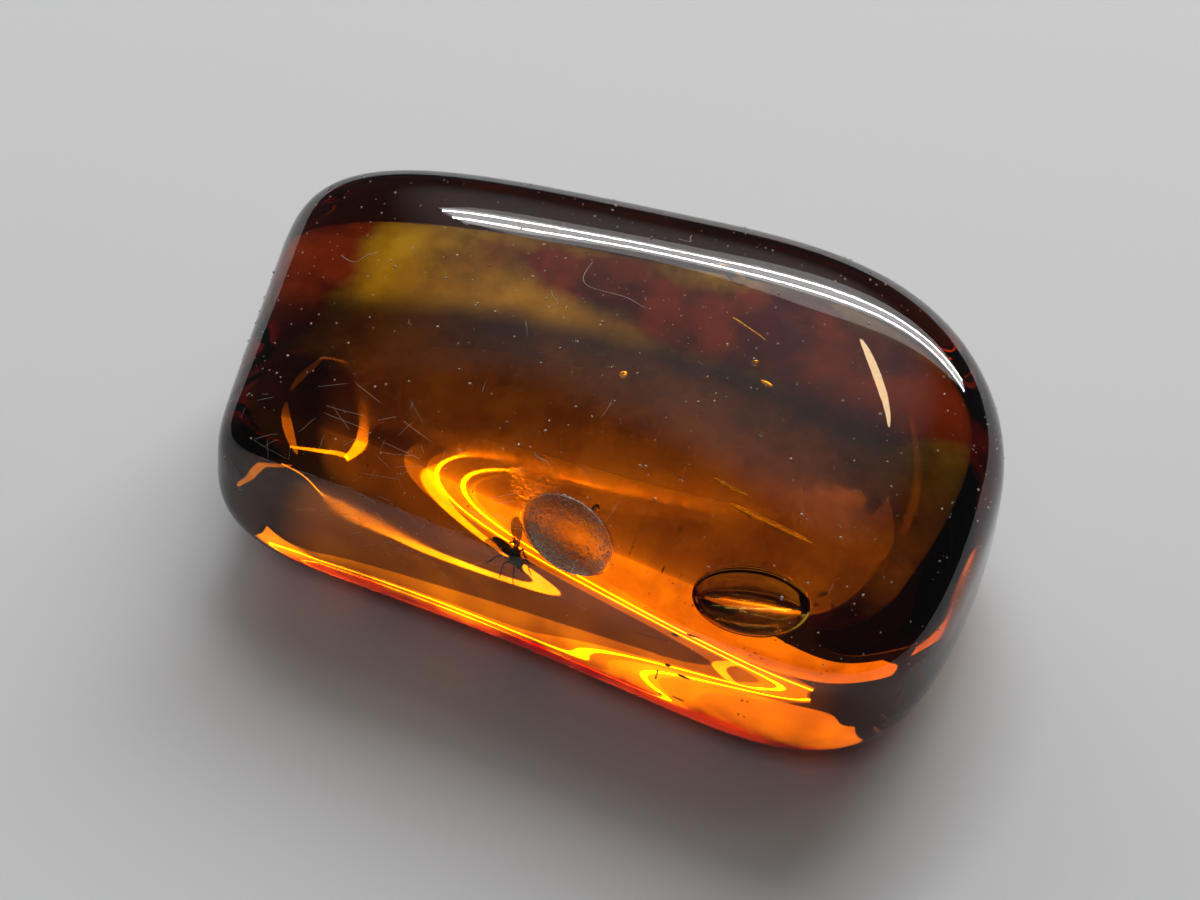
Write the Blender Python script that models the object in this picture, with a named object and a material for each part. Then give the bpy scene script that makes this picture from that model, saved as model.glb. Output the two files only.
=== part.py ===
# Insect in amber: a hand-polished, cushion-shaped block of clear Baltic amber with a gnat sealed
# in it, an opened gas bubble (a frosted pit) on its front top edge and a flat gas bubble inside.
#
# Metres, +Z up. The block rests on the flat of its belly, in the plane z = 0, and the middle of
# its box stands on the Z axis. +X runs to the thick rounded end and +Y to the high long side.
# The clear block is parted level into two halves, because the gnat's pocket and the bubble are
# closed hollows: the parting passes through both, so each half only has open recesses.

import math

import bmesh
import bpy
from mathutils import Matrix, Vector

MM = 0.001

# The block: a rounded brick, from the half sizes of the brick that it fills
HALF_LENGTH = 16.0 * MM
HALF_WIDTH = 9.48 * MM
HALF_HEIGHT = 5.34 * MM
REST_CUT = 0.5 * MM            # worn off the lowest part of the belly, which leaves the resting flat
BLOCK_SUBDIVISIONS = 5         # the icosphere's own count, where 1 is the bare icosahedron

# How square the brick is: 2 is an ellipse and larger is squarer
PLAN_SQUARENESS = 5.8          # mean of the outline seen from above
PLAN_ROUND_RIGHT = 3.3         # less at the +X end and more at the -X end
PLAN_ROUND_BACK = 2.1          # less along the +Y side and more along the -Y side
PLAN_ROUND_DIAGONAL = 0.6      # more in the +X +Y and the -X -Y corners
TOP_SQUARENESS = 3.4
TOP_BACK_SQUARENESS = 0.4      # added to the top's towards the +Y side
TOP_FRONT_SQUARENESS = -0.6    # and towards the -Y side, whose top edge is rounder
BELLY_SQUARENESS = 2.8
BELLY_ENDS_SQUARENESS = 0.6    # added to the belly's towards the two ends
BELLY_BACK_SQUARENESS = 1.7    # and towards the +Y side, where the resting flat reaches furthest
RIM_BLEND = 3.0                # how fast the top's squareness gives way to the belly's at the girth

# How the brick is bent out of true, as shares of its half sizes
SKEW = -0.096                  # of the ends, along X over the width
LEAN = 0.02                    # of the top towards +X
LEAN_BACK = 0.03               # and towards +Y
TAPER = 0.18                   # wider at the +X end by this share, narrower at the other
S_BEND = 0.09
TOP_SLOPE = 0.23               # rise of the top towards +Y
TOP_SLOPE_ALONG = 0.02         # and towards +X
BELLY_SHIFT = -0.17            # of the belly's lowest line towards -Y

# The parting
PARTING_Z = 5.75 * MM
GAP = 0.3 * MM

# The opened bubble, a shallow frosted pit in the front top edge
PIT_PLACE = (1.68 * MM, -7.90 * MM, 7.66 * MM)
PIT_NORMAL = (-0.07, -0.63, 0.77)
PIT_LONG_AXIS = (0.91, -0.35, -0.21)
PIT_SIZE = (4.1 * MM, 2.7 * MM)
PIT_DEPTH = 0.75 * MM

# The flat gas bubble inside, under the front top edge
BUBBLE_PLACE = (9.22 * MM, -6.94 * MM, 5.90 * MM)
BUBBLE_SIZE = (4.6 * MM, 2.9 * MM, 1.1 * MM)
BUBBLE_TURN = math.radians(4)

# The gnat and its pocket
INSECT_PLACE = (-0.71 * MM, -7.33 * MM, 5.21 * MM)
INSECT_TURN = math.radians(-28)
INSECT_PITCH = math.radians(8)
POCKET_SIZE = (3.5 * MM, 2.7 * MM, 2.3 * MM)

# The gnat's own sizes are in millimetres: it is joined at that size, where the Booleans are sound,
# and scaled down when it is put in its place
THORAX_SIZE = (0.60, 0.44, 0.54)
HEAD_SIZE = (0.28, 0.34, 0.32)
EYE_SIZE = (0.17, 0.15, 0.20)
ABDOMEN_LENGTH = 1.05
ABDOMEN_WIDTH = (0.36, 0.15)
ABDOMEN_RINGS = 6
WING_SIZE = (1.25, 0.50, 0.05)
LEG_RADIUS = 0.042
FEELER_RADIUS = 0.036


# ---- small tools ----

def new_collection(name):
    collection = bpy.data.collections.new(name)
    bpy.context.scene.collection.children.link(collection)
    return collection


def new_material(name, color, roughness, transmission=0.0, ior=1.5):
    material = bpy.data.materials.new(name)
    material.use_nodes = True
    shader = material.node_tree.nodes["Principled BSDF"]
    shader.inputs["Base Color"].default_value = (*color, 1.0)
    shader.inputs["Roughness"].default_value = roughness
    shader.inputs["Metallic"].default_value = 0.0
    shader.inputs["Transmission Weight"].default_value = transmission
    shader.inputs["IOR"].default_value = ior
    return material


def mesh_object(name, bm, collection, smooth=True):
    mesh = bpy.data.meshes.new(name)
    bm.to_mesh(mesh)
    bm.free()
    if smooth:
        mesh.shade_smooth()
        mesh.set_sharp_from_angle(angle=math.radians(40))
    thing = bpy.data.objects.new(name, mesh)
    collection.objects.link(thing)
    return thing


def ellipsoid(name, size, placing, collection, segments=16, rings=10):
    """A sphere drawn out to the three full sizes, then put where the matrix says."""
    bm = bmesh.new()
    bmesh.ops.create_uvsphere(bm, u_segments=segments, v_segments=rings, radius=0.5,
                              matrix=placing @ Matrix.Diagonal((*size, 1.0)))
    return mesh_object(name, bm, collection)


def box(name, low, high, collection):
    middle = (Vector(low) + Vector(high)) / 2
    size = Vector(high) - Vector(low)
    bm = bmesh.new()
    bmesh.ops.create_cube(bm, size=1.0, matrix=Matrix.Translation(middle) @ Matrix.Diagonal((*size, 1.0)))
    return mesh_object(name, bm, collection, smooth=False)


def tube(name, points, radii, collection):
    """A limb: a bevelled curve through the points, closed at both ends, made a mesh."""
    curve = bpy.data.curves.new(name, "CURVE")
    curve.dimensions = "3D"
    curve.bevel_depth = 1.0
    curve.bevel_resolution = 1
    curve.use_fill_caps = True
    spline = curve.splines.new("POLY")
    spline.points.add(len(points) - 1)
    for point, place, radius in zip(spline.points, points, radii):
        point.co = (*place, 1.0)
        point.radius = radius
    guide = bpy.data.objects.new(name, curve)
    collection.objects.link(guide)
    mesh = bpy.data.meshes.new_from_object(guide.evaluated_get(bpy.context.evaluated_depsgraph_get()))
    bpy.data.objects.remove(guide)
    bm = bmesh.new()
    bm.from_mesh(mesh)
    bpy.data.meshes.remove(mesh)
    bmesh.ops.remove_doubles(bm, verts=bm.verts, dist=1e-5)
    bmesh.ops.recalc_face_normals(bm, faces=bm.faces)
    return mesh_object(name, bm, collection)


def boolean(target, other, operation):
    modifier = target.modifiers.new(f"{operation} {other.name}".lower(), "BOOLEAN")
    modifier.object = other
    modifier.operation = operation
    modifier.solver = "EXACT"


def hide_tool(thing):
    thing.hide_render = True
    thing.display_type = "WIRE"


def axes_matrix(place, normal, long_axis):
    """Z along the normal and X along the long axis, as nearly as the normal lets it."""
    z = Vector(normal).normalized()
    x = (Vector(long_axis) - z * z.dot(Vector(long_axis))).normalized()
    y = z.cross(x)
    return Matrix.Translation(place) @ Matrix((x, y, z)).transposed().to_4x4()


# ---- the block ----

def block_point(direction):
    """The surface of the block in one direction from its middle.

    A superellipse in plan, whose squareness changes round the outline, carried up and down along a
    superellipse that is squarer above the girth than below it, then skewed, tapered and sloped.
    """
    x, y, z = direction
    reach = math.hypot(x, y)
    cosine, sine = (x / reach, y / reach) if reach > 1e-9 else (1.0, 0.0)
    plan = (PLAN_SQUARENESS - PLAN_ROUND_RIGHT * cosine - PLAN_ROUND_BACK * sine
            + PLAN_ROUND_DIAGONAL * 2 * sine * cosine)
    girth = (abs(x) ** plan + abs(y) ** plan) ** (1 / plan)
    height_angle = math.atan2(z, girth) / (math.pi / 2)
    top_share = 0.5 + 0.5 * math.sin(max(-1.0, min(1.0, RIM_BLEND * height_angle)) * math.pi / 2)
    back_share, front_share = max(sine, 0.0) ** 2, max(-sine, 0.0) ** 2
    top = TOP_SQUARENESS + TOP_BACK_SQUARENESS * back_share + TOP_FRONT_SQUARENESS * front_share
    belly = BELLY_SQUARENESS + BELLY_ENDS_SQUARENESS * cosine ** 2 + BELLY_BACK_SQUARENESS * back_share
    side = belly + (top - belly) * top_share
    stretch = (girth ** side + abs(z) ** side) ** (-1 / side)
    x, y, z = x * stretch, y * stretch, z * stretch

    x += LEAN * z
    y += BELLY_SHIFT * min(z, 0.0) ** 2 + LEAN_BACK * z
    across = y * (1 + TAPER * x) + S_BEND * x ** 3
    along = x + SKEW * y
    up = z + (TOP_SLOPE * y + TOP_SLOPE_ALONG * x) * max(z, 0.0) + 1
    return Vector((HALF_LENGTH * along, HALF_WIDTH * across, HALF_HEIGHT * up - REST_CUT))


def make_block(name, collection):
    bm = bmesh.new()
    bmesh.ops.create_icosphere(bm, subdivisions=BLOCK_SUBDIVISIONS, radius=1.0)
    for vertex in bm.verts:
        vertex.co = block_point(vertex.co.normalized())
    low_x, high_x = min(v.co.x for v in bm.verts), max(v.co.x for v in bm.verts)
    low_y, high_y = min(v.co.y for v in bm.verts), max(v.co.y for v in bm.verts)
    bmesh.ops.translate(bm, verts=bm.verts, vec=(-(low_x + high_x) / 2, -(low_y + high_y) / 2, 0.0))
    return mesh_object(name, bm, collection)


def make_hollows(collection):
    pit_placing = axes_matrix(PIT_PLACE, PIT_NORMAL, PIT_LONG_AXIS)
    # the pit is the cap of an ellipsoid that is three times as deep as the cap
    deep = 3.0
    rim_share = math.sqrt(1 - (1 - 1 / deep) ** 2)
    pit_size = (PIT_SIZE[0] / rim_share, PIT_SIZE[1] / rim_share, 2 * deep * PIT_DEPTH)
    lift = Matrix.Translation((0, 0, (deep - 1) * PIT_DEPTH))
    pit = ellipsoid("pit_cutter", pit_size, pit_placing @ lift, collection, 32, 20)

    bubble_placing = Matrix.Translation(BUBBLE_PLACE) @ Matrix.Rotation(BUBBLE_TURN, 4, "Z")
    bubble = ellipsoid("bubble_cutter", BUBBLE_SIZE, bubble_placing, collection, 28, 14)
    pocket = ellipsoid("pocket_cutter", POCKET_SIZE, insect_placing(), collection, 24, 14)
    return pit, bubble, pocket


def make_half(name, low_z, high_z, hollows, material, collection, cutters):
    """The block between two levels, less the hollows that reach it."""
    half = make_block(name, collection)
    half.data.materials.append(material)
    reach = 2 * HALF_LENGTH
    slab = box(f"{name}_slab", (-reach, -reach, low_z), (reach, reach, high_z), cutters)
    boolean(half, slab, "INTERSECT")
    for hollow in hollows:
        boolean(half, hollow, "DIFFERENCE")
    return half


# ---- the gnat, head towards +X, in millimetres about its own middle ----

def insect_placing():
    turn = Matrix.Rotation(INSECT_TURN, 4, "Z") @ Matrix.Rotation(INSECT_PITCH, 4, "Y")
    return Matrix.Translation(INSECT_PLACE) @ turn


def body_parts(tools):
    """Humped thorax, head with two compound eyes, and an abdomen of shrinking rings that droops."""
    thorax = ellipsoid("thorax", THORAX_SIZE, Matrix.Translation((0.22, 0.0, 0.12)), tools)
    head_place = Vector((0.56, 0.0, 0.03))
    parts = [ellipsoid("head", HEAD_SIZE, Matrix.Translation(head_place), tools, 12, 8)]
    for side in (-1, 1):
        eye_place = head_place + Vector((0.03, 0.10 * side, 0.04))
        parts.append(ellipsoid("eye", EYE_SIZE, Matrix.Translation(eye_place), tools, 10, 8))
    ring_length = 1.7 * ABDOMEN_LENGTH / ABDOMEN_RINGS
    for ring in range(ABDOMEN_RINGS):
        share = ring / (ABDOMEN_RINGS - 1)
        width = ABDOMEN_WIDTH[0] + (ABDOMEN_WIDTH[1] - ABDOMEN_WIDTH[0]) * share ** 1.5
        place = Matrix.Translation((-ABDOMEN_LENGTH * share, 0.0, 0.06 - 0.20 * share * share))
        parts.append(ellipsoid("ring", (ring_length, width, 0.95 * width), place, tools, 12, 8))
    return thorax, parts


def wing(side, tools):
    """A flat oval, narrow where it leaves the thorax, lying back over the abdomen and outwards."""
    bm = bmesh.new()
    bmesh.ops.create_cone(bm, cap_ends=True, segments=20, radius1=0.5, radius2=0.5, depth=1.0,
                          matrix=Matrix.Diagonal((*WING_SIZE, 1.0)))
    root = WING_SIZE[0] / 2
    for vertex in bm.verts:
        share = (vertex.co.x + root) / WING_SIZE[0]
        vertex.co.y *= 0.45 + 0.75 * share ** 0.7
        vertex.co.z += 0.05 * math.sin(math.pi * share)
    outwards = Matrix.Rotation(side * math.radians(180 - 34), 4, "Z")
    raised = Matrix.Rotation(math.radians(-9), 4, "Y")
    hinge = Matrix.Translation((0.20, 0.13 * side, 0.27))
    reach = Matrix.Translation((root * 0.92, 0, 0))
    bmesh.ops.transform(bm, verts=bm.verts, matrix=hinge @ outwards @ raised @ reach)
    return mesh_object("wing", bm, tools)


def limbs(tools):
    """Six legs of femur, tibia and tarsus, and two feelers, as bent tubes that thin to the tip."""
    # where a leg leaves the thorax, its knee, its ankle and its tip, on the +Y side
    legs = (
        ((0.36, 0.10, -0.02), (0.62, 0.40, 0.02), (0.74, 0.52, -0.34), (0.90, 0.60, -0.50)),
        ((0.20, 0.12, -0.04), (0.14, 0.52, 0.02), (0.20, 0.74, -0.36), (0.30, 0.86, -0.46)),
        ((0.08, 0.10, -0.04), (-0.26, 0.46, 0.04), (-0.52, 0.64, -0.34), (-0.70, 0.68, -0.52)),
    )
    feeler = ((0.62, 0.06, 0.10), (0.80, 0.16, 0.22), (0.98, 0.26, 0.26), (1.12, 0.36, 0.22))
    thinning = (1.25, 1.0, 0.85, 0.75)
    parts = []
    for side in (-1, 1):
        for points, radius in [(leg, LEG_RADIUS) for leg in legs] + [(feeler, FEELER_RADIUS)]:
            sided = [(x, y * side, z) for x, y, z in points]
            parts.append(tube("limb", sided, [radius * share for share in thinning], tools))
    return parts


def make_insect(material, collection, tools):
    body, parts = body_parts(tools)
    parts += [wing(side, tools) for side in (-1, 1)]
    parts += limbs(tools)
    for part in parts:
        boolean(body, part, "UNION")
    joined = body.evaluated_get(bpy.context.evaluated_depsgraph_get())
    mesh = bpy.data.meshes.new_from_object(joined)
    for part in [body] + parts:
        bpy.data.objects.remove(part)
    mesh.transform(insect_placing() @ Matrix.Scale(MM, 4))
    mesh.materials.clear()
    mesh.materials.append(material)
    insect = bpy.data.objects.new("insect", mesh)
    collection.objects.link(insect)


# ---- the whole piece ----

def build():
    for old in list(bpy.data.objects):
        bpy.data.objects.remove(old, do_unlink=True)
    piece = new_collection("insect in amber")
    cutters = new_collection("cutters")
    amber = new_material("polished amber", (0.80, 0.30, 0.02), 0.05, transmission=1.0, ior=1.54)
    cuticle = new_material("insect cuticle", (0.03, 0.015, 0.008), 0.45)

    pit, bubble, pocket = make_hollows(cutters)
    top_z = 4 * HALF_HEIGHT
    make_half("amber_lower_half", 0.0, PARTING_Z - GAP / 2, (bubble, pocket), amber, piece, cutters)
    make_half("amber_upper_half", PARTING_Z + GAP / 2, top_z, (bubble, pocket, pit), amber, piece, cutters)
    make_insect(cuticle, piece, cutters)
    for tool in cutters.objects:
        hide_tool(tool)


build()
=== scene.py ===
import math

import bpy
import numpy as np
from mathutils import Matrix, Vector


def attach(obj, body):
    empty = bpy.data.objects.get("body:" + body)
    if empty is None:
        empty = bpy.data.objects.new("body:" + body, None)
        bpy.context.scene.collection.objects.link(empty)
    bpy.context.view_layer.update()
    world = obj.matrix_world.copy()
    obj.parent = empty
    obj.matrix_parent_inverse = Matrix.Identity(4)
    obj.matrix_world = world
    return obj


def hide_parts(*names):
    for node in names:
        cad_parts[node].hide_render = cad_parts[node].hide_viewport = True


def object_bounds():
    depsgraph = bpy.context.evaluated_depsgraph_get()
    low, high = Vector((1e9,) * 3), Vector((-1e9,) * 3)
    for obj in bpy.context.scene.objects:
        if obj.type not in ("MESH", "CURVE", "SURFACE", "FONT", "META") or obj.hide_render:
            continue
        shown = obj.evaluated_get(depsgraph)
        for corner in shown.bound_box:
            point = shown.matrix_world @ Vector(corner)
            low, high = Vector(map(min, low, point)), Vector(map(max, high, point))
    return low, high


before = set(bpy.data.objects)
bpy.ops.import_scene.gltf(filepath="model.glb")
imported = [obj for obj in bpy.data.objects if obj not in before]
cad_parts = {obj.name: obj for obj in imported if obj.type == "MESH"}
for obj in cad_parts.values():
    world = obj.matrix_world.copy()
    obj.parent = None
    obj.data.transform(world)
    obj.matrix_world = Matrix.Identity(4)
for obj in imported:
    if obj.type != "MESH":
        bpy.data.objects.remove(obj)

mm = 0.001
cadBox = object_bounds()
cadMiddle = (np.array(cadBox[0]) + np.array(cadBox[1])) / 2 / mm


# Small tools

def linear(hexColour):  # an sRGB hex colour as linear red, green, blue and alpha
    channels = [int(hexColour[i:i + 2], 16) / 255 for i in (1, 3, 5)]
    return [c / 12.92 if c <= 0.04045 else ((c + 0.055) / 1.055) ** 2.4 for c in channels] + [1.0]


def addNode(tree, kind, inputs=None, **settings):
    # one node; inputs maps a socket to a value, or to another node's output to link it
    node = tree.nodes.new(kind)
    for name, value in settings.items():
        setattr(node, name, value)
    for socket, value in (inputs or {}).items():
        if isinstance(value, bpy.types.NodeSocket):
            tree.links.new(value, node.inputs[socket])
        else:
            node.inputs[socket].default_value = value
    return node


def newMaterial(name):
    material = bpy.data.materials.new(name)
    material.use_nodes = True
    return material, material.node_tree, material.node_tree.nodes["Principled BSDF"]


def unit(vectors):
    return vectors / np.linalg.norm(vectors, axis=-1, keepdims=True)


def basis(normal, along):  # three unit rows: along, across and normal, square to each other
    z = unit(np.array(normal, float))
    x = unit(np.array(along, float) - z * np.dot(z, along))
    return np.array((x, np.cross(z, x), z))


def shellFaces(rings, columns, start=0):
    # quads between neighbouring rings of a closed grid, then a fan of triangles at each of two poles;
    # the first pole is the vertex after the rings, and the second is the one after it
    ring = np.arange(rings - 1)[:, None] * columns + start
    column = np.arange(columns)[None]
    beside = (column + 1) % columns
    quads = np.stack((ring + column, ring + columns + column, ring + columns + beside, ring + beside), -1)
    pole, last = start + rings * columns, start + (rings - 1) * columns
    around, following = column[0], beside[0]
    first = np.stack((np.full(columns, pole), start + around, start + following), -1)
    second = np.stack((np.full(columns, pole + 1), last + following, last + around), -1)
    fans = np.concatenate((first, second))
    return [tuple(face) for face in quads.reshape(-1, 4)] + [tuple(face) for face in fans]


def ballPoints(rings, columns, way=1):
    # a ball of diameter 1: rings of points from the top down, then its two poles; with shellFaces its
    # faces point outwards, or inwards where way is -1 and the rings run clockwise
    polar = np.linspace(0, math.pi, rings + 2)[1:-1, None]
    around = np.linspace(0, way * 2 * math.pi, columns, endpoint=False)[None]
    ball = np.stack((np.sin(polar) * np.cos(around), np.sin(polar) * np.sin(around),
                     np.cos(polar) + 0 * around), -1)
    return np.concatenate((ball.reshape(-1, 3), ((0, 0, 1), (0, 0, -1)))) / 2


def newPiece(name, points, faces, material, sharpAngle=30):
    mesh = bpy.data.meshes.new(name)
    mesh.from_pydata((np.asarray(points) * mm).tolist(), [], faces)
    mesh.materials.append(material)
    mesh.shade_smooth()
    mesh.set_sharp_from_angle(angle=math.radians(sharpAngle))
    mesh.update()
    piece = bpy.data.objects.new(name, mesh)
    bpy.context.scene.collection.objects.link(piece)
    return piece


# The camera, the floor and the lamps

view = {
    "azimuth": 23.32,      # degrees round from the block's long side
    "elevation": 45.6,     # degrees above the floor
    "distance": 180.0,
    "aim": (-0.196, -0.375, 4.563),
    "frameWidth": 48.98,   # what the picture spans at the aim
    "sensor": 36.0,
}

# azimuth: degrees to the right of straight behind the block, as the camera sees it
# elevation: degrees above the floor; roll: degrees that the lamp is turned in its own plane
# mirrored False: it leaves no highlight of its own; seenThrough False: the block doesn't show it inside
lamps = {
    "tubeHigh": {"azimuth": 21.7, "elevation": 38.4, "roll": 31, "distance": 650, "size": (690, 5),
                 "power": 0.9},
    "tubeLow": {"azimuth": 19.7, "elevation": 35.7, "roll": 31, "distance": 650, "size": (690, 5),
                "power": 0.9},
    "reflector": {"azimuth": 20.7, "elevation": 37.1, "roll": 31, "distance": 660, "size": (690, 60),
                  "power": 0.5},
    "glow": {"azimuth": 20.7, "elevation": 37.1, "roll": 31, "distance": 670, "size": (720, 150),
             "power": 0.45, "shape": "ELLIPSE"},
    "lantern": {"azimuth": 26.5, "elevation": 52.4, "roll": -47, "distance": 600, "size": (130, 20),
                "power": 0.10, "colour": "#ffdca8", "shape": "ELLIPSE", "seenThrough": False},
    "window": {"azimuth": 69, "elevation": 48, "roll": -83, "distance": 600, "size": (280, 50),
               "power": 0.06, "shape": "ELLIPSE", "mirrored": False},
    "sill": {"azimuth": -54, "elevation": 12, "distance": 600, "size": (440, 120),
             "power": 0.5, "mirrored": False},
    "sideTube": {"azimuth": 43.5, "elevation": 61.2, "roll": 2, "distance": 600, "size": (362, 12),
                 "power": 0.12, "mirrored": False},
    "bend": {"azimuth": 7.1, "elevation": 51.6, "roll": -70, "distance": 600, "size": (157, 12),
             "power": 0.08, "mirrored": False},
    "back": {"azimuth": 5, "elevation": 28, "distance": 700, "size": (900, 320),
             "power": 3.3, "mirrored": False},
    "fill": {"azimuth": 180, "elevation": 62, "distance": 700, "size": (500, 300),
             "power": 0.35, "mirrored": False},
}

stage = {
    "floorHalf": 700.0, "floorDrop": 0.05, "floorColour": "#cfd0d2", "floorRoughness": 0.75,
    "roomColour": "#ffffff", "roomLight": 0.05,
    "pool": {"azimuth": 10, "elevation": 47, "brightness": 0.6, "reach": 28},   # light high on the far wall
}


def viewAxes():  # right, up and back of the camera, as rows
    turn, rise = math.radians(view["azimuth"]), math.radians(view["elevation"])
    back = np.array((math.sin(turn) * math.cos(rise), -math.cos(turn) * math.cos(rise), math.sin(rise)))
    right = np.array((math.cos(turn), math.sin(turn), 0.0))
    return right, np.cross(back, right), back


def makeCamera():
    right, up, back = viewAxes()
    camera = bpy.data.objects.new("camera", bpy.data.cameras.new("camera"))
    bpy.context.scene.collection.objects.link(camera)
    place = Matrix(np.array((right, up, back)).T.tolist()).to_4x4()
    place.translation = Vector((np.array(view["aim"]) + back * view["distance"]) * mm)
    camera.matrix_world = place
    camera.data.sensor_width = view["sensor"]
    camera.data.lens = view["sensor"] * view["distance"] / view["frameWidth"]
    camera.data.clip_start, camera.data.clip_end = 0.001, 10.0
    bpy.context.scene.camera = camera


def lampDirection(azimuth, elevation):
    right, _, back = viewAxes()
    away = unit(np.array((-back[0], -back[1], 0.0)))
    turn, rise = math.radians(azimuth), math.radians(elevation)
    level = away * math.cos(turn) + right * math.sin(turn)
    return level * math.cos(rise) + np.array((0, 0, math.sin(rise)))


def makeLamps():
    for name, lamp in lamps.items():
        light = bpy.data.lights.new(name, "AREA")
        light.shape = lamp.get("shape", "RECTANGLE")
        light.size, light.size_y = lamp["size"][0] * mm, lamp["size"][1] * mm
        light.energy = lamp["power"]
        light.color = linear(lamp.get("colour", "#ffffff"))[:3]
        holder = bpy.data.objects.new(name, light)
        bpy.context.scene.collection.objects.link(holder)
        towards = lampDirection(lamp["azimuth"], lamp["elevation"])
        level = np.cross((0, 0, 1), towards)
        x, y, z = basis(towards, level)
        place = Matrix(np.array((x, y, z)).T.tolist()).to_4x4()
        place = place @ Matrix.Rotation(math.radians(lamp.get("roll", 0)), 4, "Z")
        place.translation = Vector((np.array(view["aim"]) + towards * lamp["distance"]) * mm)
        holder.matrix_world = place
        holder.visible_glossy = lamp.get("mirrored", True)
        holder.visible_transmission = lamp.get("seenThrough", True)
    world = bpy.data.worlds.new("studio")
    world.use_nodes = True
    # the room is evenly dim but for a soft pool of light, brightest at its middle and gone at its reach
    tree, pool = world.node_tree, stage["pool"]
    direction = addNode(tree, "ShaderNodeTexCoord").outputs["Generated"]
    middle = lampDirection(pool["azimuth"], pool["elevation"])
    nearness = addNode(tree, "ShaderNodeVectorMath", {0: direction, 1: middle}, operation="DOT_PRODUCT")
    strength = addNode(tree, "ShaderNodeMapRange", {
        "Value": nearness.outputs["Value"],
        "From Min": math.cos(math.radians(pool["reach"])), "From Max": 1.0,
        "To Min": stage["roomLight"], "To Max": pool["brightness"]}, interpolation_type="SMOOTHSTEP")
    tree.links.new(strength.outputs["Result"], tree.nodes["Background"].inputs["Strength"])
    tree.nodes["Background"].inputs["Color"].default_value = linear(stage["roomColour"])
    bpy.context.scene.world = world
    bpy.context.scene.view_settings.view_transform = "Standard"  # keeps strong oranges from turning pink


def makeFloor():
    # painted board: flat and matt, so that it stays plain
    material, _, shader = newMaterial("matt painted board")
    shader.inputs["Base Color"].default_value = linear(stage["floorColour"])
    shader.inputs["Roughness"].default_value = stage["floorRoughness"]
    half, drop = stage["floorHalf"], -stage["floorDrop"]
    corners = [(-half, -half, drop), (half, -half, drop), (half, half, drop), (-half, half, drop)]
    newPiece("floor", corners, [(0, 1, 2, 3)], material)


# The amber block

block = {
    "halfLength": 16.0, "halfWidth": 9.48, "halfHeight": 5.34,
    "restCut": 0.5, "restBlend": 0.12,    # worn off the belly, and how softly the resting flat begins
    "planSquareness": 5.8, "planRoundRight": 3.3, "planRoundBack": 2.1, "planRoundDiagonal": 0.6,
    "topSquareness": 3.4, "topBackSquareness": 0.4, "topFrontSquareness": -0.6,
    "bellySquareness": 2.8, "bellyEndsSquareness": 0.6, "bellyBackSquareness": 1.7, "rimBlend": 3.0,
    "skew": -0.096, "lean": 0.02, "leanBack": 0.03, "taper": 0.18, "sBend": 0.09,
    "topSlope": 0.23, "topSlopeAlong": 0.02, "bellyShift": -0.17,
    "polishWave": 0.03,                   # height of the waves that hand polishing leaves
    "columns": 360, "ringsInPit": 18, "ringsOutside": 225,
    "crowding": 0.35,                            # how far the rings crowd towards the pit's rim
    "bubbleGrid": (64, 32), "crackGrid": (28, 12),   # columns and rings
    "startDirection": (-0.007, -0.794, 0.608),   # where the middle of the pit lies: the grid starts there
}

pit = {"place": (1.68, -7.90, 7.66), "normal": (-0.07, -0.63, 0.77), "longAxis": (0.91, -0.35, -0.21),
       "size": (4.1, 2.7), "depth": 0.75}

smudge = {"place": (-0.25, -6.70, 8.39), "radius": 0.75, "frost": 0.45}   # rubbed dull beside the pit

bubble = {"place": (9.22, -6.94, 5.90), "size": (4.6, 2.9, 1.1), "turn": 4.0}

# thin gas-filled cracks that glint: place, size and turn
cracks = (
    ((2.20, 8.20, 5.00), (1.2, 0.5, 0.05), -20), ((1.50, 8.20, 5.50), (0.6, 0.3, 0.04), 10),
    ((-0.10, 2.20, 4.20), (0.35, 0.4, 0.04), 40), ((4.70, 4.50, 4.70), (0.3, 0.35, 0.04), 0),
    ((5.50, 3.70, 4.60), (0.6, 0.2, 0.03), -15),
    ((8.10, -2.10, 3.60), (3.8, 0.22, 0.04), -12), ((6.10, -1.30, 4.00), (1.8, 0.14, 0.03), -14),
    ((3.80, 6.00, 4.90), (2.0, 0.12, 0.03), -22),
)


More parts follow.
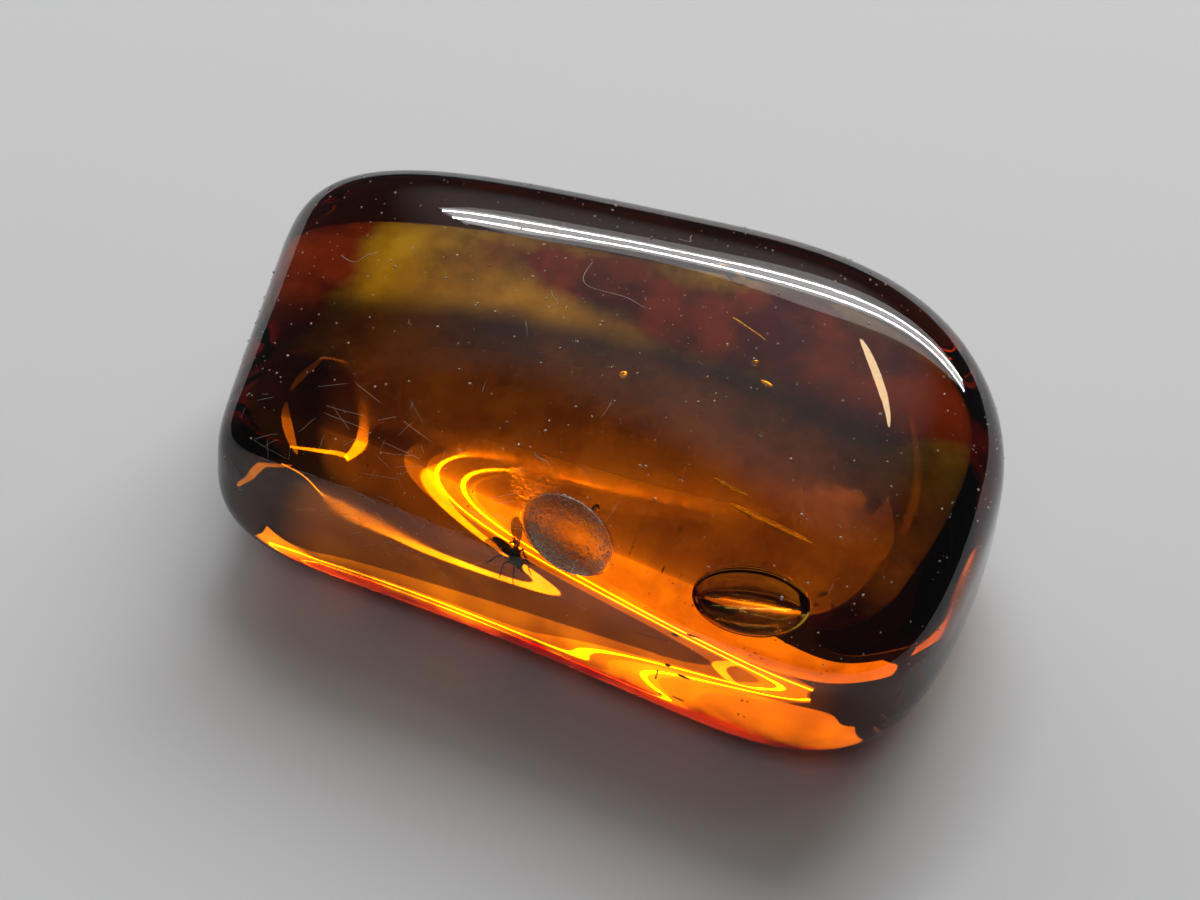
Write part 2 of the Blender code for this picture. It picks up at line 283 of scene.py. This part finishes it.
def blockForm(direction):
    # A superellipse in plan, whose squareness changes round the outline, is carried up and down along
    # another that is squarer above the girth than below it; the whole is then skewed, tapered and sloped.
    b = block
    x, y, z = np.moveaxis(direction, -1, 0)
    reach = np.hypot(x, y) + 1e-12
    cosine, sine = x / reach, y / reach
    plan = (b["planSquareness"] - b["planRoundRight"] * cosine - b["planRoundBack"] * sine
            + b["planRoundDiagonal"] * 2 * sine * cosine)
    girth = (np.abs(x) ** plan + np.abs(y) ** plan) ** (1 / plan)
    heightAngle = np.arctan2(z, girth) / (math.pi / 2)
    topShare = 0.5 + 0.5 * np.sin(np.clip(b["rimBlend"] * heightAngle, -1, 1) * math.pi / 2)
    backShare, frontShare = np.maximum(sine, 0) ** 2, np.maximum(-sine, 0) ** 2
    top = b["topSquareness"] + b["topBackSquareness"] * backShare + b["topFrontSquareness"] * frontShare
    belly = (b["bellySquareness"] + b["bellyEndsSquareness"] * cosine ** 2
             + b["bellyBackSquareness"] * backShare)
    side = belly + (top - belly) * topShare
    stretch = (girth ** side + np.abs(z) ** side) ** (-1 / side)
    x, y, z = x * stretch, y * stretch, z * stretch
    x = x + b["lean"] * z
    y = y + b["bellyShift"] * np.minimum(z, 0) ** 2 + b["leanBack"] * z
    across = b["halfWidth"] * (y * (1 + b["taper"] * x) + b["sBend"] * x ** 3)
    along = b["halfLength"] * (x + b["skew"] * y)
    slope = (b["topSlope"] * y + b["topSlopeAlong"] * x) * np.maximum(z, 0)
    up = b["halfHeight"] * (z + slope + 1) - b["restCut"]
    up = up - b["polishWave"] * (1 + np.sin(0.42 * along + 0.25 * across + 0.6)
                                 * np.cos(0.55 * across - 0.1 * along)) * np.maximum(z, 0)
    up = 0.5 * (up + np.sqrt(up * up + b["restBlend"] ** 2))
    return np.stack((along, across, up), -1)


def turnedDirections(angle, around):
    # unit directions at these angles from the grid's start, and these angles round it
    x, y, z = basis(block["startDirection"], (1, 0, 0))
    angle, around = angle[..., None], around[..., None]
    return np.cos(angle) * z + np.sin(angle) * (np.cos(around) * x + np.sin(around) * y)


def blockShift():  # moves the middle of the block's box onto the CAD's
    angle, around = np.meshgrid(np.linspace(0.001, math.pi - 0.001, 200), np.linspace(0, 2 * math.pi, 400))
    points = blockForm(turnedDirections(angle, around)).reshape(-1, 3)
    middle = (points.min(0) + points.max(0)) / 2
    return np.array((cadMiddle[0] - middle[0], cadMiddle[1] - middle[1], 0.0))


blockMove = blockShift()


def blockSurface(direction):
    return blockForm(direction) + blockMove


def pitCoordinates(points):
    # along, across and up from the pit's middle, and the height of its bowl there: the bowl is the low
    # side of an ellipsoid three times as deep as the cap that it cuts off
    axes = basis(pit["normal"], pit["longAxis"])
    local = (points - np.array(pit["place"])) @ axes.T
    rimShare = math.sqrt(1 - (2 / 3) ** 2)
    halfLong, halfShort = pit["size"][0] / 2 / rimShare, pit["size"][1] / 2 / rimShare
    inside = np.maximum(1 - (local[..., 0] / halfLong) ** 2 - (local[..., 1] / halfShort) ** 2, 0)
    return local, pit["depth"] * (2 - 3 * np.sqrt(inside)), axes


def settled(points):  # what would hang over the pit's mouth lies on its bowl instead
    local, bowl, axes = pitCoordinates(points)
    local[..., 2] = np.minimum(local[..., 2], bowl)
    return np.array(pit["place"]) + local @ axes


def hollow(place, size, turn, columns, rings):
    # a flat ellipsoid whose faces look into it, away from the amber, turned about the vertical
    c, s = math.cos(math.radians(turn)), math.sin(math.radians(turn))
    ball = ballPoints(rings, columns, -1) * np.array(size)
    return ball @ np.array(((c, s, 0), (-s, c, 0), (0, 0, 1))) + np.array(place)


def makeAmber(material):
    # rings of vertices round the pit: the first of them fill it, one lies on its rim, and the rest run
    # over the block to the far side
    columns = block["columns"]
    around = np.linspace(0, 2 * math.pi, columns, endpoint=False)
    low, high = np.zeros(columns), np.full(columns, 0.6)
    for _ in range(30):  # halves the range that holds the rim, for all columns at once
        middle = (low + high) / 2
        local, bowl, _ = pitCoordinates(blockSurface(turnedDirections(middle, around)))
        under = local[:, 2] > bowl
        low, high = np.where(under, middle, low), np.where(under, high, middle)
    rim = (low + high) / 2
    inPit, outside = block["ringsInPit"], block["ringsOutside"]
    shareIn = np.arange(1, inPit + 1) / inPit
    shareOut = np.arange(1, outside + 1) / (outside + 1)
    shareOut = block["crowding"] * shareOut ** 2 + (1 - block["crowding"]) * shareOut
    angle = np.concatenate((shareIn[:, None] * rim, rim + shareOut[:, None] * (math.pi - rim)))
    points = blockSurface(turnedDirections(angle, np.broadcast_to(around, angle.shape)))
    local, bowl, axes = pitCoordinates(points)
    bowlPoints = np.array(pit["place"]) + np.stack((local[..., 0], local[..., 1], bowl), -1) @ axes
    points[:inPit] = bowlPoints[:inPit]
    poles = blockSurface(np.array((unit(np.array(block["startDirection"])),
                                   -unit(np.array(block["startDirection"])))))
    local, bowl, axes = pitCoordinates(poles)
    poles[0] = np.array(pit["place"]) + np.array((local[0, 0], local[0, 1], bowl[0])) @ axes
    rings = inPit + outside
    outer = np.concatenate((points.reshape(-1, 3), poles))

    points, faces = [outer], shellFaces(rings, columns)
    for place, size, turn in ((bubble["place"], bubble["size"], bubble["turn"]), *cracks):
        sides, levels = block["bubbleGrid"] if place == bubble["place"] else block["crackGrid"]
        faces += shellFaces(levels, sides, sum(len(part) for part in points))
        points.append(hollow(place, size, turn, sides, levels))
    points = np.concatenate(points)
    amber = newPiece("amber_block", points, faces, material)
    away = np.linalg.norm(points - np.array(smudge["place"]), axis=1) / smudge["radius"]
    frost = smudge["frost"] * np.exp(-away ** 2)
    frost[:inPit * columns] = 1.0
    frost[rings * columns] = 1.0
    # one attribute says how far each point lies inside the painted shade on the belly
    for name, values in (("frost", frost), ("paintedShade", paintedShadeDepth(points)),
                         ("roughness", amberRoughness(points, frost))):
        amber.data.attributes.new(name, "FLOAT", "POINT").data.foreach_set("value", values)
    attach(amber, "root")
    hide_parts("amber_lower_half", "amber_upper_half")
    return amber


amberLook = {
    "ior": 1.54,
    "absorbed": "#f5e300", "density": 500.0,   # the colour that is left of white, and how strongly
    "gloss": 0.015, "frostRoughness": 0.6, "frostGrain": 0.16, "frostHeight": 0.07,
    # the belly's satin, the height that it reaches, and the Y where it gives way to the polished front
    "bellyRoughness": 0.30, "bellyHeight": 0.06, "satinFrom": -0.4,
    # painted shade on the belly, standing for the floor in shadow seen through the amber: the dark red that
    # it lets through, where it is light and where it is dark
    "paintedShade": "#6f1207", "deepPaintedShade": "#270000", "paintedShadeTop": 2.8,   # how high it reaches
    "paintedShadeEdge": 0.8, "paintedShadeWander": 3.2, "paintedShadeGrain": 4.0,
    # the strip left clear of the painted shade, where the lit floor shows through: its middle in Y, slant,
    # half width and left end, and the film on it
    "clearMiddle": 2.9, "clearSlant": -0.14, "clearHalf": 3.3, "clearEnd": -12.6,
    "film": "#ffffff", "thickFilm": "#c4b57c", "mottleGrain": 2.6,
}


def paintedShadeDepth(points):
    # how far inside the painted shade's edge each point lies: past the strip that is left clear, to its
    # sides or its left end, and under the painted shade's top, which rises towards the left end
    look = amberLook
    x, y, z = points.T
    besideStrip = np.abs(y - look["clearMiddle"] - look["clearSlant"] * x) - look["clearHalf"]
    pastEnd = look["clearEnd"] - x
    top = look["paintedShadeTop"] + 2 * np.maximum(pastEnd, 0)
    return np.minimum(np.maximum(besideStrip, pastEnd), top - z)


def amberRoughness(points, frost):
    # glossy all over but for the satin at the back of the belly and the frost, each fading out at its edge
    look = amberLook
    low = np.clip(1 - points[:, 2] / look["bellyHeight"], 0, 1)
    satin = low * np.clip(points[:, 1] - look["satinFrom"], 0, 1)
    satin = satin * satin * (3 - 2 * satin)
    rough = np.maximum(satin * look["bellyRoughness"], frost * look["frostRoughness"])
    return np.maximum(look["gloss"], rough)


def amberMaterial():
    # Baltic amber, ground flat on the belly and buffed all over: glassy, warm brown where it is thick and
    # yellow where light comes through an edge. The opened bubble stays frosted, the back of the belly is
    # satin, and there a painted shade, standing for the floor in shadow below, lets only a dark red
    # through.
    material, tree, shader = newMaterial("buffed Baltic amber")
    look = amberLook
    shader.inputs["Transmission Weight"].default_value = 1.0
    shader.inputs["IOR"].default_value = look["ior"]
    volume = addNode(tree, "ShaderNodeVolumeAbsorption",
                     {"Color": linear(look["absorbed"]), "Density": look["density"]})
    tree.links.new(volume.outputs[0], tree.nodes["Material Output"].inputs["Volume"])
    place = addNode(tree, "ShaderNodeTexCoord").outputs["Object"]

    # the painted shade's edge wanders, and both the painted shade and the film are darker in patches
    edge = addNode(tree, "ShaderNodeAttribute", attribute_name="paintedShade").outputs["Fac"]
    wander = addNode(tree, "ShaderNodeTexNoise", {
        "Vector": place, "Scale": 1 / (look["paintedShadeGrain"] * mm), "Detail": 5.0}).outputs["Fac"]
    wandered = addNode(tree, "ShaderNodeMath", {0: wander, 1: look["paintedShadeWander"], 2: edge},
                       operation="MULTIPLY_ADD").outputs[0]
    middle = look["paintedShadeWander"] / 2   # the noise averages a half
    coverage = addNode(tree, "ShaderNodeMapRange", {
        "Value": wandered, "From Min": middle - look["paintedShadeEdge"], "From Max": middle + look["paintedShadeEdge"]},
        interpolation_type="SMOOTHSTEP").outputs["Result"]
    patches = addNode(tree, "ShaderNodeTexNoise", {
        "Vector": place, "Scale": 1 / (look["mottleGrain"] * mm), "Detail": 4.0}).outputs["Fac"]
    thickness = addNode(tree, "ShaderNodeMapRange", {"Value": patches, "From Min": 0.4, "From Max": 0.62},
                        interpolation_type="SMOOTHSTEP").outputs["Result"]
    film = addNode(tree, "ShaderNodeMix", {
        0: thickness, 6: linear(look["film"]), 7: linear(look["thickFilm"])}, data_type="RGBA").outputs[2]
    paintedShade = addNode(tree, "ShaderNodeMix", {
        0: thickness, 6: linear(look["paintedShade"]), 7: linear(look["deepPaintedShade"])}, data_type="RGBA").outputs[2]
    colour = addNode(tree, "ShaderNodeMix", {0: coverage, 6: film, 7: paintedShade}, data_type="RGBA").outputs[2]
    # painted shade: outside the clear strip the belly is tinted a dark red that stands for the floor in
    # shadow
    tree.links.new(colour, shader.inputs["Base Color"])

    rough = addNode(tree, "ShaderNodeAttribute", attribute_name="roughness").outputs["Fac"]
    tree.links.new(rough, shader.inputs["Roughness"])
    frost = addNode(tree, "ShaderNodeAttribute", attribute_name="frost").outputs["Fac"]
    grain = addNode(tree, "ShaderNodeTexNoise", {
        "Vector": place, "Scale": 1 / (look["frostGrain"] * mm), "Detail": 3.0}).outputs["Fac"]
    bump = addNode(tree, "ShaderNodeBump", {
        "Height": addNode(tree, "ShaderNodeMath", {0: grain, 1: frost}, operation="MULTIPLY").outputs[0],
        "Strength": 1.0, "Distance": look["frostHeight"] * mm})
    tree.links.new(bump.outputs["Normal"], shader.inputs["Normal"])
    return material


# The gnat, in millimetres about its own middle, head towards +X

gnat = {
    "place": (-0.71, -7.33, 5.21), "turn": -28.0, "pitch": 8.0,
    "thorax": (0.60, 0.44, 0.54), "head": (0.26, 0.33, 0.31), "eye": (0.19, 0.15, 0.22),
    "abdomenLength": 1.10, "abdomenWidth": 0.36, "abdomenRings": 7,
    "wing": (1.28, 0.50, 0.012), "wingSpread": 34.0, "wingLift": 9.0,
    "legRadius": 0.030, "feelerRadius": 0.020, "veinRadius": 0.011,
    "bristles": 90, "bristleLength": 0.11, "seed": 4,
    "chitinIor": 1.56, "cuticle": ("#120a06", "#3a1f10"), "cuticleRoughness": 0.42,
    "cuticleGrain": 0.111, "cuticleFolds": 0.01,
    "membrane": ("#3b2412", "#6b4a2a"), "membraneRoughness": 0.35, "membraneGrain": 0.25,
    "membraneAlpha": 0.55,
}

# hip, knee, ankle and tip of the fore, middle and hind leg on the +Y side
gnatLegs = (
    ((0.36, 0.10, -0.02), (0.62, 0.40, 0.02), (0.74, 0.52, -0.34), (0.90, 0.60, -0.50)),
    ((0.20, 0.12, -0.04), (0.14, 0.52, 0.02), (0.20, 0.74, -0.36), (0.30, 0.86, -0.46)),
    ((0.08, 0.10, -0.04), (-0.26, 0.46, 0.04), (-0.52, 0.64, -0.34), (-0.70, 0.68, -0.52)),
)
gnatFeeler = ((0.62, 0.06, 0.10), (0.80, 0.16, 0.22), (0.98, 0.26, 0.26), (1.12, 0.36, 0.22))


def smoothPath(points, count):
    # a Catmull-Rom curve through the points: each stretch is a cubic whose slope at a point is half the
    # step between that point's two neighbours
    points = np.array(points, float)
    ends = np.concatenate((2 * points[:1] - points[1:2], points, 2 * points[-1:] - points[-2:-1]))
    share = np.linspace(0, len(points) - 1, count)
    part = np.minimum(share.astype(int), len(points) - 2)
    t = (share - part)[:, None]
    a, b, c, d = (ends[part + k] for k in range(4))
    square, cube = 2 * a - 5 * b + 4 * c - d, 3 * b - a - 3 * c + d
    return 0.5 * (2 * b + (c - a) * t + square * t ** 2 + cube * t ** 3)


def tube(path, radii, sides):
    # circles of these radii carried along the path, square to it, and closed by a point at each end
    path, radii = np.asarray(path, float), np.asarray(radii, float)
    along = unit(np.gradient(path, axis=0))
    guide = np.array((0.13, 0.21, 0.97))
    first = unit(np.cross(along, guide))
    second = np.cross(along, first)
    turn = np.linspace(0, 2 * math.pi, sides, endpoint=False)[None, :, None]
    circles = np.cos(turn) * first[:, None] + np.sin(turn) * second[:, None]
    rings = path[:, None] + radii[:, None, None] * circles
    points = np.concatenate((rings.reshape(-1, 3), path[:1], path[-1:]))
    return points, [face[::-1] for face in shellFaces(len(path), sides)]


def lump(place, size, rings=14, columns=20):
    # an ellipsoid of these full sizes
    return ballPoints(rings, columns) * np.array(size) + np.array(place), shellFaces(rings, columns)


def joined(parts):  # several closed shells as one list of points and one of faces
    points, faces, start = [], [], 0
    for partPoints, partFaces in parts:
        points.append(partPoints)
        faces += [tuple(np.array(face) + start) for face in partFaces]
        start += len(partPoints)
    return np.concatenate(points), faces


def mirrored(part):  # the same part on the other side of the gnat
    points, faces = part
    return points * np.array((1, -1, 1)), [face[::-1] for face in faces]


def placeGnat(points):
    turn, pitch = math.radians(gnat["turn"]), math.radians(gnat["pitch"])
    matrix = np.array(Matrix.Rotation(turn, 3, "Z") @ Matrix.Rotation(pitch, 3, "Y"))
    return points @ matrix.T + np.array(gnat["place"])


def gnatAbdomen():
    # a droplet along a drooping line, with a soft groove between every two rings
    share = np.linspace(0, 1, 60)
    path = np.stack((0.02 - gnat["abdomenLength"] * share, 0 * share, 0.08 - 0.22 * share ** 2), -1)
    outline = np.sqrt(np.clip(1 - (2 * share - 1) ** 4, 0, 1)) * (1 - 0.55 * share ** 1.6)
    grooves = 1 - 0.10 * np.abs(np.cos(math.pi * gnat["abdomenRings"] * share)) ** 6
    return tube(path, np.maximum(gnat["abdomenWidth"] / 2 * outline * grooves, 0.004), 18)


def gnatWing():
    # a closed leaf: the outline is an oval that is narrow at its root, both faces bulge by half the
    # membrane's thickness, and the whole is arched a little
    length, width, thick = gnat["wing"]
    points, faces = lump((0, 0, 0), (1, 1, 1), 24, 40)
    share = points[:, 0] + 0.5
    points = np.stack((points[:, 0] * length + length / 2,
                       points[:, 1] * width * (0.50 + 0.72 * share ** 0.8),
                       points[:, 2] * thick + 0.05 * np.sin(math.pi * share)), -1)
    return points, faces


def wingVeins():
    # five thin rods that fan out from the wing's root and follow its arch
    length, width, _ = gnat["wing"]
    parts = []
    for lean in (-0.42, -0.2, 0.05, 0.28, 0.45):
        share = np.linspace(0, 0.97, 24)
        y = lean * width * np.sin(share * 1.9) * (0.5 + 0.6 * share)
        path = np.stack((length * share, y, 0.006 + 0.05 * np.sin(math.pi * share)), -1)
        parts.append(tube(path, gnat["veinRadius"] * (1 - 0.6 * share), 6))
    return parts


def placeWing(part):
    spread, lift = math.radians(180 - gnat["wingSpread"]), math.radians(-gnat["wingLift"])
    matrix = np.array(Matrix.Rotation(spread, 3, "Z") @ Matrix.Rotation(lift, 3, "Y"))
    return part[0] @ matrix.T + np.array((0.20, 0.13, 0.27)), part[1]


def gnatLimb(points, radius):
    # a limb swells in the middle of each stretch between joints and thins to its tip
    path = smoothPath(points, 40)
    share = np.linspace(0, 1, 40)
    swell = 1.25 - 0.65 * share + 0.25 * np.sin(3 * math.pi * share) ** 2 * (1 - share)
    swell[-3:] *= (0.85, 0.6, 0.25)
    return tube(path, radius * swell, 8)


def gnatBristles():
    # short stiff hairs on the back and the sides of the thorax, leaning backwards
    rng = np.random.default_rng(gnat["seed"])
    parts = []
    for _ in range(gnat["bristles"]):
        out = unit(rng.normal(size=3) * (1, 1, 0.7) + (0, 0, 0.8))
        foot = np.array((0.22, 0.0, 0.12)) + out * np.array(gnat["thorax"]) / 2
        tip = foot + gnat["bristleLength"] * unit(out + (-0.7, 0, 0.1))
        parts.append(tube(smoothPath((foot - 0.02 * out, (foot + tip) / 2 + 0.01 * out, tip), 5),
                          (0.006, 0.006, 0.005, 0.003, 0.001), 5))
    return parts


def cuticleMaterial():
    # dried chitin: nearly black brown, a weak waxy sheen, and fine pits and folds where it shrank
    material, tree, shader = newMaterial("dried insect cuticle")
    place = addNode(tree, "ShaderNodeTexCoord").outputs["Object"]
    grain = addNode(tree, "ShaderNodeTexNoise", {
        "Vector": place, "Scale": 1 / (gnat["cuticleGrain"] * mm), "Detail": 3.0}).outputs["Fac"]
    colour = addNode(tree, "ShaderNodeValToRGB", {"Fac": grain})
    for end, position, shade in zip(colour.color_ramp.elements, (0.35, 0.75), gnat["cuticle"]):
        end.position, end.color = position, linear(shade)
    tree.links.new(colour.outputs["Color"], shader.inputs["Base Color"])
    folds = addNode(tree, "ShaderNodeBump", {
        "Height": grain, "Strength": 0.5, "Distance": gnat["cuticleFolds"] * mm})
    tree.links.new(folds.outputs["Normal"], shader.inputs["Normal"])
    shader.inputs["Roughness"].default_value = gnat["cuticleRoughness"]
    shader.inputs["IOR"].default_value = gnat["chitinIor"]
    return material


def membraneMaterial():
    # wing membrane: a film of chitin, thin enough to see through, tea brown where it folds
    material, tree, shader = newMaterial("insect wing membrane")
    place = addNode(tree, "ShaderNodeTexCoord").outputs["Object"]
    grain = addNode(tree, "ShaderNodeTexNoise", {
        "Vector": place, "Scale": 1 / (gnat["membraneGrain"] * mm), "Detail": 2.0}).outputs["Fac"]
    colour = addNode(tree, "ShaderNodeValToRGB", {"Fac": grain})
    for end, shade in zip(colour.color_ramp.elements, gnat["membrane"]):
        end.color = linear(shade)
    tree.links.new(colour.outputs["Color"], shader.inputs["Base Color"])
    shader.inputs["Roughness"].default_value = gnat["membraneRoughness"]
    shader.inputs["IOR"].default_value = gnat["chitinIor"]
    shader.inputs["Alpha"].default_value = gnat["membraneAlpha"]
    return material


def makeGnat():
    head = np.array((0.56, 0.0, 0.03))
    parts = [lump((0.22, 0.0, 0.12), gnat["thorax"]), gnatAbdomen(), lump(head, gnat["head"])]
    sided = [lump(head + (0.03, 0.10, 0.04), gnat["eye"], 12, 16)]
    sided += [gnatLimb(gnatFeeler, gnat["feelerRadius"])]
    sided += [gnatLimb(leg, gnat["legRadius"]) for leg in gnatLegs]
    sided += [placeWing(vein) for vein in wingVeins()]
    mouth = gnatLimb(((0.66, 0.0, -0.02), (0.72, 0.0, -0.12), (0.71, 0.0, -0.22)), 0.03)
    parts += sided + [mirrored(part) for part in sided] + [mouth] + gnatBristles()
    points, faces = joined(parts)
    body = newPiece("insect_body", placeGnat(points), faces, cuticleMaterial(), 60)
    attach(body, "root")
    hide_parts("insect")
    wing = placeWing(gnatWing())
    points, faces = joined([wing, mirrored(wing)])
    wings = newPiece("insect_wings", placeGnat(points), faces, membraneMaterial(), 60)
    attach(wings, "root")
    return body


# Dust and lint on the polish, and a painted highlight on the pit's rim

dust = {
    "grains": 900, "grainRadius": (0.018, 0.06), "grainSink": 0.2, "seed": 11,
    "pitGrains": 1300, "pitGrainRadius": (0.018, 0.05),   # chips left on the frosted floor of the pit; those crowded on its low rim are a painted highlight
    "fibres": 7, "fibreRadius": 0.011, "fibreLength": (0.3, 1.0),
    "bigFibre": (-1.44, 2.61, 10.49), "bigFibreLength": 2.0,   # where the longest one lies
    "scuffs": 110, "scuffRadius": 0.005, "scuffLength": (0.2, 1.1),
    "scuffPlace": (-5.5, -8.0, 7.0), "scuffSpread": (5.0, 3.2, 2.0),
    "colours": ("#8a7a68", "#e6dfd2"), "roughness": 0.85, "patchSize": 1.43,
}


def directionTo(places):
    # walks a direction from the block's middle until the surface lies nearest to each place
    middle = np.array((0, 0, block["halfHeight"] - block["restCut"])) + blockMove
    towards = unit(places - middle)
    for _ in range(40):
        towards = unit(towards + 0.04 * (places - blockSurface(towards)))
    return towards


def surfaceNormal(direction):  # square to two short steps on the surface
    side = unit(np.cross(direction, (0.31, 0.52, 0.79)))
    other = np.cross(direction, side)
    step = 1e-3
    a = blockSurface(unit(direction + step * side)) - blockSurface(unit(direction - step * side))
    b = blockSurface(unit(direction + step * other)) - blockSurface(unit(direction - step * other))
    return unit(np.cross(a, b))


def dustAndHighlightMaterial():
    # house dust: pale mineral grains and cotton lint, quite matt; the same grains make the painted
    # highlight on the pit's rim
    material, tree, shader = newMaterial("dust, cotton lint and painted rim highlight")
    place = addNode(tree, "ShaderNodeTexCoord").outputs["Object"]
    patches = addNode(tree, "ShaderNodeTexNoise", {
        "Vector": place, "Scale": 1 / (dust["patchSize"] * mm)}).outputs["Fac"]
    colour = addNode(tree, "ShaderNodeValToRGB", {"Fac": patches})
    for end, shade in zip(colour.color_ramp.elements, dust["colours"]):
        end.color = linear(shade)
    tree.links.new(colour.outputs["Color"], shader.inputs["Base Color"])
    shader.inputs["Roughness"].default_value = dust["roughness"]
    return material


def chipShape():
    # an icosahedron: its twelve corners are those of three golden rectangles, and its twenty triangles
    # join corners that are all neighbours, in the order that makes them face outwards
    golden = (1 + 5 ** 0.5) / 2
    corners = unit(np.array([(0, a, b * golden) for a in (-1, 1) for b in (-1, 1)]
                            + [(a, b * golden, 0) for a in (-1, 1) for b in (-1, 1)]
                            + [(a * golden, 0, b) for a in (-1, 1) for b in (-1, 1)], float))
    near = np.linalg.norm(corners[:, None] - corners[None], axis=-1) < 1.1
    faces = [(i, j, k) for i in range(12) for j in range(i + 1, 12) for k in range(j + 1, 12)
             if near[i, j] and near[j, k] and near[i, k]]
    volumes = np.linalg.det(corners[np.array(faces)])
    return corners, [face if volume > 0 else face[::-1] for face, volume in zip(faces, volumes)]


def dustGrains(rng, shape):
    # stretched lumps with their middles near the polish, wherever it doesn't face down; most are small
    towards = unit(rng.normal(size=(4 * dust["grains"], 3)) + (0, 0, 0.9))
    out = surfaceNormal(towards)
    kept = np.nonzero(out[:, 2] > 0.15)[0][:dust["grains"]]
    towards, out = towards[kept], out[kept]
    low, high = dust["grainRadius"]
    radius = low + (high - low) * rng.random(len(kept)) ** 3
    stretch = rng.uniform(0.6, 1.4, (len(kept), 1, 3))
    lumps = shape[None] * rng.uniform(0.75, 1.2, (len(kept), 12, 1)) * stretch * radius[:, None, None]
    return lumps, settled(blockSurface(towards) + out * radius[:, None] * dust["grainSink"])


def pitChipsAndRimHighlight(rng, shape):
    # rough chips on the pit's bowl: they crowd its low rim, where they make a pale crescent, a painted
    # highlight of the rim catching the light
    count = dust["pitGrains"]
    turns = rng.uniform(0, 2 * math.pi, count)
    # painted highlight: four chips in ten gather on one side, towards the low rim, as a pale crescent
    turns = np.where(rng.random(count) < 0.4, rng.normal(-1.9, 0.55, count), turns)
    reach = 0.97 * rng.random(count) ** 0.3
    spots = np.stack((reach * np.cos(turns) * pit["size"][0], reach * np.sin(turns) * pit["size"][1],
                      0 * turns), -1) / 2
    axes = basis(pit["normal"], pit["longAxis"])
    spots[:, 2] = pitCoordinates(np.array(pit["place"]) + spots @ axes)[1]
    low, high = dust["pitGrainRadius"]
    radius = low + (high - low) * rng.random(count) ** 2
    chips = shape[None] * rng.uniform(0.6, 1.3, (count, 12, 1)) * radius[:, None, None]
    return chips, np.array(pit["place"]) + spots @ axes


def lintAndScuffs(rng):
    # bent lint lies anywhere on top; the scuffs are nearly straight and crowd the front edge
    fibres, scuffs = dust["fibres"], dust["scuffs"]
    places = blockSurface(unit(rng.normal(size=(fibres, 3)) * (1, 1, 0.4) + (0, 0, 1.1)))
    places[0] = dust["bigFibre"]
    lengths = np.append(dust["bigFibreLength"], rng.uniform(*dust["fibreLength"], fibres - 1))
    scuffPlaces = np.array(dust["scuffPlace"]) + rng.normal(size=(scuffs, 3)) * dust["scuffSpread"]
    places = np.concatenate((places, scuffPlaces))
    lengths = np.append(lengths, rng.uniform(*dust["scuffLength"], scuffs))
    meanReach = 9.0   # from the block's middle to its surface, which turns a length into an angle
    parts = []
    for number, (direction, length) in enumerate(zip(directionTo(places), lengths)):
        scuff = number >= fibres
        radius = dust["scuffRadius"] if scuff else dust["fibreRadius"]
        count, wave = (8, 0.05) if scuff else (30, 1.0)
        share = np.linspace(-0.5, 0.5, count)[:, None]
        turn, bend = rng.uniform(0, 2 * math.pi), rng.uniform(0.6, 1.6) * wave
        side = unit(np.cross(direction, (math.cos(turn), math.sin(turn), 0.4)))
        other = np.cross(direction, side)
        sway = bend * (share ** 2 + 0.1 * np.sin(7 * share))
        run = unit(direction + length / meanReach * (share * side + sway * other))
        path = settled(blockSurface(run) + surfaceNormal(run) * radius)
        parts.append(tube(path, radius * np.append(np.ones(count - 1), 0.3), 6))
    return parts


def makeDustAndRimHighlight():
    rng = np.random.default_rng(dust["seed"])
    shape, faces = chipShape()
    parts = []
    for lumps, centres in (dustGrains(rng, shape), pitChipsAndRimHighlight(rng, shape)):
        parts += [(chip + centre, faces) for chip, centre in zip(lumps, centres)]
    points, faces = joined(parts + lintAndScuffs(rng))
    lint = newPiece("surface_dust_and_rim_highlight", points, faces, dustAndHighlightMaterial(), 60)
    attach(lint, "root")
    return lint


makeCamera()
makeFloor()
makeLamps()
print("camera, floor and lamps are up")

amberBlock = makeAmber(amberMaterial())
print("amber:", len(amberBlock.data.vertices), "vertices")
gnatBody = makeGnat()
print("gnat:", len(gnatBody.data.vertices), "vertices")
dustAndRimHighlight = makeDustAndRimHighlight()
print("dust:", len(dustAndRimHighlight.data.vertices), "vertices")
